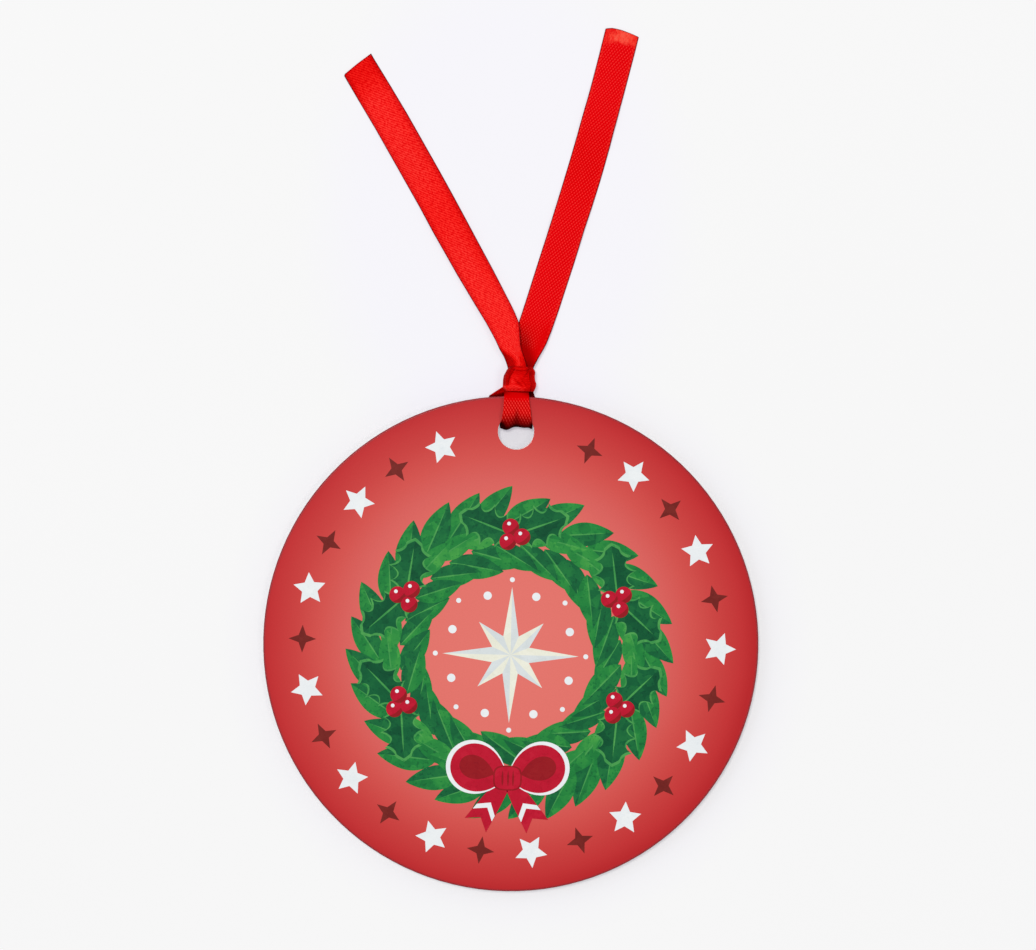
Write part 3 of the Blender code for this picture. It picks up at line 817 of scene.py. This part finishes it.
def round_outline(radius, sides=28):
    turns = np.linspace(0, 2 * math.pi, sides, endpoint=False)
    return np.stack((radius * np.cos(turns), radius * np.sin(turns)), axis=1)


def crescent_outline(radius):
    """The shaded side of a ball, towards x."""
    turns = np.radians(np.linspace(-80, 80, 21))
    edge = np.stack((np.cos(turns), np.sin(turns)), axis=1)
    return radius * np.vstack((edge, (edge * (0.35, 1) + (0.11, 0))[::-1][1:-1]))


def star_outline(count, outer, inner):
    """A star of so many points, the first of them towards x."""
    turns = np.linspace(0, 2 * math.pi, 2 * count, endpoint=False)
    radius = np.where(np.arange(2 * count) % 2 == 0, outer, inner)
    return np.stack((radius * np.cos(turns), radius * np.sin(turns)), axis=1)


WREATH_CENTRE = (0.0, -2.0)
WREATH_RADIUS = 21.5

# Levels of ink: the holly lies over the wreath's leaves, and the bow over both
HOLLY_LEVEL = 37
BOW_LEVEL = 51


def print_wreath(inks):
    """Three rings of two-toned leaves, whose tips point the same way round."""
    leaves = {"dark": [], "mid": [], "light": []}
    veins = []
    rings = (
        (WREATH_RADIUS + 1.6, 34, 10.5, 4.6, 0, ("dark", "mid")),
        (WREATH_RADIUS - 1.6, -36, 9.5, 4.2, 4, ("mid", "dark")),
        (WREATH_RADIUS + 0.2, 3, 9.5, 4.0, 8, ("light", "mid")),
    )
    count = 28
    for ring, (radius, splay, length, width, level, tones) in enumerate(rings):
        for i in range(count):
            around = 360 / count * (i + ring / 3)
            size = random.uniform(0.93, 1.07)
            facing = around - 90 + splay + random.uniform(-5, 5)
            foot = on_ring(radius, around + 5, WREATH_CENTRE)
            stacked = level + i % 4
            leaf = placed(leaf_outline(length, width), foot, facing, size)
            shade = placed(leaf_outline(length, width, 0.0), foot, facing, size)
            vein = placed(leaf_outline(length * 0.86, 0.26), foot, facing, size)
            leaves[tones[0]].append((leaf, stacked * 3))
            leaves[tones[1]].append((shade, stacked * 3 + 1))
            veins.append((vein, stacked * 3 + 2))
    for tone, shapes in leaves.items():
        film(f"print_leaves_{tone}", shapes, inks[f"green_{tone}"])
    film("print_leaf_veins", veins, inks["green_vein"])


def print_holly(inks):
    """Pairs of spiked leaves with berries on the wreath, at its sides and top."""
    rims, leaves, shades, veins, berries, dark, lights = [], [], [], [], [], [], []
    for around in (28, 90, 152, 205, 335):
        middle = on_ring(WREATH_RADIUS, around, WREATH_CENTRE)
        for splay in (58, -58):
            facing = around + 90 * math.copysign(1, splay) - splay * 0.35
            foot = on_ring(-0.4, facing, middle)
            rims.append((placed(holly_outline(11.0, 8.0), foot, facing), HOLLY_LEVEL))
            leaves.append((placed(holly_outline(10.0, 7.0), middle, facing), HOLLY_LEVEL + 1))
            half = [point for point in holly_outline(10.0, 7.0) if point[1] >= -0.01]
            shades.append((placed(half, middle, facing), HOLLY_LEVEL + 2))
            veins.append((placed(leaf_outline(8.8, 0.34), middle, facing), HOLLY_LEVEL + 3))
        for number, degrees in enumerate((20, 140, 260)):
            berry = on_ring(1.55, around + degrees, middle)
            level = HOLLY_LEVEL + 4 + 3 * number
            berries.append((placed(round_outline(1.5), berry, 0), level))
            dark.append((placed(crescent_outline(1.5), berry, -50), level + 1))
            light = placed(round_outline(0.34, 12), on_ring(0.68, 118, berry), 0)
            lights.append((light, level + 2))
    film("print_holly_edges", rims, inks["green_vein"])
    film("print_holly_leaves", leaves, inks["holly"])
    film("print_holly_shades", shades, inks["holly_light"])
    film("print_holly_veins", veins, inks["green_vein"])
    film("print_berries", berries, inks["crimson"])
    film("print_berry_shades", dark, inks["crimson_dark"])
    film("print_berry_lights", lights, inks["white"])


def petal_outline(length, spread):
    """One loop of the bow along x from the origin, so many degrees wide on each side."""
    share = np.linspace(-1, 1, 36, endpoint=False)
    reach = length * np.maximum(np.cos(math.pi / 2 * share), 0) ** 0.62
    turns = np.radians(spread * share)
    return np.stack((reach * np.cos(turns), reach * np.sin(turns)), axis=1)


def print_bow(inks):
    """A bow with two notched tails over the foot of the wreath."""
    centre = np.array(on_ring(WREATH_RADIUS + 0.6, 270, WREATH_CENTRE))
    tail = ((-1.1, 0), (1.1, 0), (1.8, -5), (2.3, -10.2), (0, -8.5), (-2.3, -10.2), (-1.8, -5))
    chevron = ((-1.95, -6.9), (0, -5.3), (1.95, -6.9), (2.06, -8.0), (0, -6.4), (-2.06, -8.0))
    body, dark, trim = [], [], []
    for side in (-1, 1):
        body.append((placed(tail, centre, 33 * side), BOW_LEVEL))
        trim.append((placed(chevron, centre, 33 * side), BOW_LEVEL + 1))
        along = 90 - 73 * side
        trim.append((placed(petal_outline(11.4, 60), centre, along), BOW_LEVEL + 2))
        body.append((placed(petal_outline(10.6, 57), centre, along), BOW_LEVEL + 3))
        hollow = on_ring(2.4, along, centre)
        dark.append((placed(petal_outline(6.6, 44), hollow, along), BOW_LEVEL + 4))
    turns = np.linspace(0, 2 * math.pi, 32, endpoint=False)
    knot = np.stack((2.3 * np.sign(np.cos(turns)) * np.abs(np.cos(turns)) ** 0.6,
                     2.0 * np.sign(np.sin(turns)) * np.abs(np.sin(turns)) ** 0.6), axis=1)
    dark.append((knot * 1.12 + centre, BOW_LEVEL + 5))
    body.append((knot + centre, BOW_LEVEL + 6))
    for x in (-0.9, 0.1, 1.0):
        crease = placed(leaf_outline(2.9, 0.36), centre + (x, -1.45), 90)
        dark.append((crease, BOW_LEVEL + 7))
    film("print_bow_trim", trim, inks["white"])
    film("print_bow", body, inks["crimson"])
    film("print_bow_folds", dark, inks["crimson_dark"])


def print_star(inks):
    """A folded-paper star with a light and a shaded side to each ray, and dots round it."""
    light, shade, dots = [], [], []
    valley = 3.6
    for i in range(16):
        around = 90 + 22.5 * i
        tip_at = around if i % 2 == 0 else around + 22.5
        reach = 12.2 if round((tip_at - 90) / 45) % 2 == 0 else 8.2
        valley_at = around + (22.5 if i % 2 == 0 else 0)
        facet = [WREATH_CENTRE, on_ring(reach, tip_at, WREATH_CENTRE),
                 on_ring(valley, valley_at, WREATH_CENTRE)]
        (light if i % 2 == 0 else shade).append((facet, 2))
    for i in range(8):
        large_at = on_ring(11.4, 67.5 + 45 * i, WREATH_CENTRE)
        small_at = on_ring(13.5, 45 * i, WREATH_CENTRE)
        dots.append((placed(round_outline(0.75, 20), large_at, 0), 2))
        dots.append((placed(round_outline(0.45, 16), small_at, 0), 2))
    film("print_star_lights", light, inks["cream"])
    film("print_star_shades", shade, inks["pale"])
    film("print_star_dots", dots, inks["white"])


def print_border(inks):
    """White stars and dark red ones in turn, close to the rim, clear of the hole."""
    white, dark = [], []
    count, radius, clear_of_hole = 26, 37.4, 8.0
    for i in range(count):
        around = 90 + 360 / count * (i + 0.5)
        x, y = on_ring(radius, around)
        if y > 0 and abs(x) < clear_of_hole:
            continue
        if i % 2:
            white.append((placed(star_outline(5, 3.0, 1.45), (x, y), around), 0))
        else:
            dark.append((placed(star_outline(4, 2.5, 0.95), (x, y), around), 0))
    film("print_border_light", white, inks["white"])
    film("print_border_dark", dark, inks["dark_red"])


def make_print():
    """The whole picture on the disc's front."""
    random.seed(7)
    inks = {}
    for name, (mottle, *shades) in INKS.items():
        stops = [(place, linear(*shade)) for place, shade in shades]
        inks[name] = ink_material(f"ink_{name}", stops, mottle)
    print_wreath(inks)
    print_holly(inks)
    print_bow(inks)
    print_star(inks)
    print_border(inks)


# Stage

def make_camera():
    """A camera straight above, with the photograph's frame."""
    data = bpy.data.cameras.new("camera")
    data.sensor_width = SENSOR_WIDTH
    data.lens = SENSOR_WIDTH * CAMERA_HEIGHT / VIEW_WIDTH
    data.clip_start, data.clip_end = 0.05, 10.0
    camera = bpy.data.objects.new("camera", data)
    camera.location = (VIEW_CENTRE[0] * MM, VIEW_CENTRE[1] * MM, (DISC_FRONT + CAMERA_HEIGHT) * MM)
    camera.rotation_euler = (0, 0, math.radians(VIEW_TURN))
    bpy.context.scene.collection.objects.link(camera)
    bpy.context.scene.camera = camera


def make_lights():
    """Pale light from all round, and two large soft lamps high above that point at the part."""
    world = bpy.data.worlds.new("studio")
    world.use_nodes = True
    background = world.node_tree.nodes["Background"]
    background.inputs["Color"].default_value = (1.0, 1.0, 1.0, 1.0)
    background.inputs["Strength"].default_value = 0.30
    bpy.context.scene.world = world
    lamps = (
        # name, place, size across and power
        ("key", (-520.0, 760.0, 2500.0), 900.0, 43.0),
        ("fill", (1300.0, -500.0, 2000.0), 900.0, 8.5),
    )
    for name, place, size, power in lamps:
        data = bpy.data.lights.new(name, "AREA")
        data.shape = "DISK"
        data.size = size * MM
        data.energy = power
        lamp = bpy.data.objects.new(name, data)
        lamp.location = [value * MM for value in place]
        x, y, z = place
        lamp.rotation_euler = (math.atan2(math.hypot(x, y), z), 0.0, math.atan2(x, -y))
        bpy.context.scene.collection.objects.link(lamp)


def make_floor():
    """A wide slab whose top is just under the part."""
    half, low, thick = 1500.0, -0.02, 4.0
    corners = [(sx * half, sy * half, z) for z in (low - thick, low)
               for sx, sy in ((-1, -1), (1, -1), (1, 1), (-1, 1))]
    faces = [(4, 5, 6, 7), (3, 2, 1, 0)]
    faces += [(i, (i + 1) % 4, 4 + (i + 1) % 4, 4 + i) for i in range(4)]
    floor = mesh_object("floor", corners, faces, floor_material(), 30)


TAILS = (
    {
        "name": "left_tail", "node": "ribbon_tail_left", "body": "tail_left",
        "inside": INSIDE_KNOT_LEFT, "route": LEFT_ROUTE, "pivot": LEFT_PIVOT,
        "left_edge": ((0, 1.98), (2.7, 2.29), (4.24, 2.55), (5.96, 2.60), (9.85, 2.67), (14.3, 2.90),
                      (20, 3.06), (29, 3.07), (34, 2.94), (50, 2.91), (57, 3.04), (61, 3.08)),
        "right_edge": ((-0.3, 1.40), (0.42, 1.35), (1.11, 1.25), (1.7, 1.16), (2.24, 1.11),
                       (2.95, 1.09), (3.65, 1.23), (4.29, 1.47), (5.16, 1.78), (5.96, 2.10),
                       (7.19, 2.60), (9.26, 2.80), (14, 2.92), (18.5, 3.05), (23.4, 3.14),
                       (28.3, 3.26), (33.2, 3.37), (38, 3.43), (50, 3.43), (55.6, 3.31), (60.6, 3.12)),
        "cut": ((-1, -0.45), (-0.93, -0.20), (-0.47, 0.05), (0, 0.30), (0.5, 0.50), (1, 0.70)),
        "crease": left_crease, "satin": (1.0, -1.0), "sealed": False,
        "slot": "ribbon_satin",
    },
    {
        "name": "right_tail", "node": "ribbon_tail_right", "body": "tail_right",
        "inside": INSIDE_KNOT_RIGHT, "route": RIGHT_ROUTE, "pivot": RIGHT_PIVOT,
        "left_edge": ((0, 1.9), (4, 2.6), (7.6, 3.05), (12, 3.05), (20, 3.12), (36, 3.10), (43, 3.0),
                      (48, 3.1), (58, 3.03)),
        "right_edge": ((0, 2.05), (1.33, 2.47), (1.92, 2.55), (4.07, 2.78), (5.43, 2.95),
                       (7.57, 3.05), (12, 3.15), (20, 3.15), (27, 3.08), (31, 3.18), (36, 3.25),
                       (42.6, 3.27), (46, 3.16), (50, 3.05), (55, 3.10), (60, 3.15)),
        "cut": ((-1, -0.05), (-0.94, 0.06), (-0.62, 0.38), (-0.33, 0.42), (0, 0.41), (0.62, 0.18),
                (1, -0.05)),
        "crease": right_crease, "satin": (-1.0, 1.0), "sealed": True,
        "slot": "ribbon_reverse",
    },
)


def main():
    bpy.context.scene.view_settings.view_transform = "Standard"
    make_camera()
    make_lights()
    make_floor()

    red = ribbon_material()
    for tail in TAILS:
        make_tail(tail, red)
    make_loop(red)
    make_knot(red)

    disc = frame["nodes"]["disc"]
    disc.data.materials.clear()
    disc.data.materials.append(coat_material())
    disc.data.shade_smooth()
    disc.data.set_sharp_from_angle(angle=math.radians(35))
    make_print()


main()
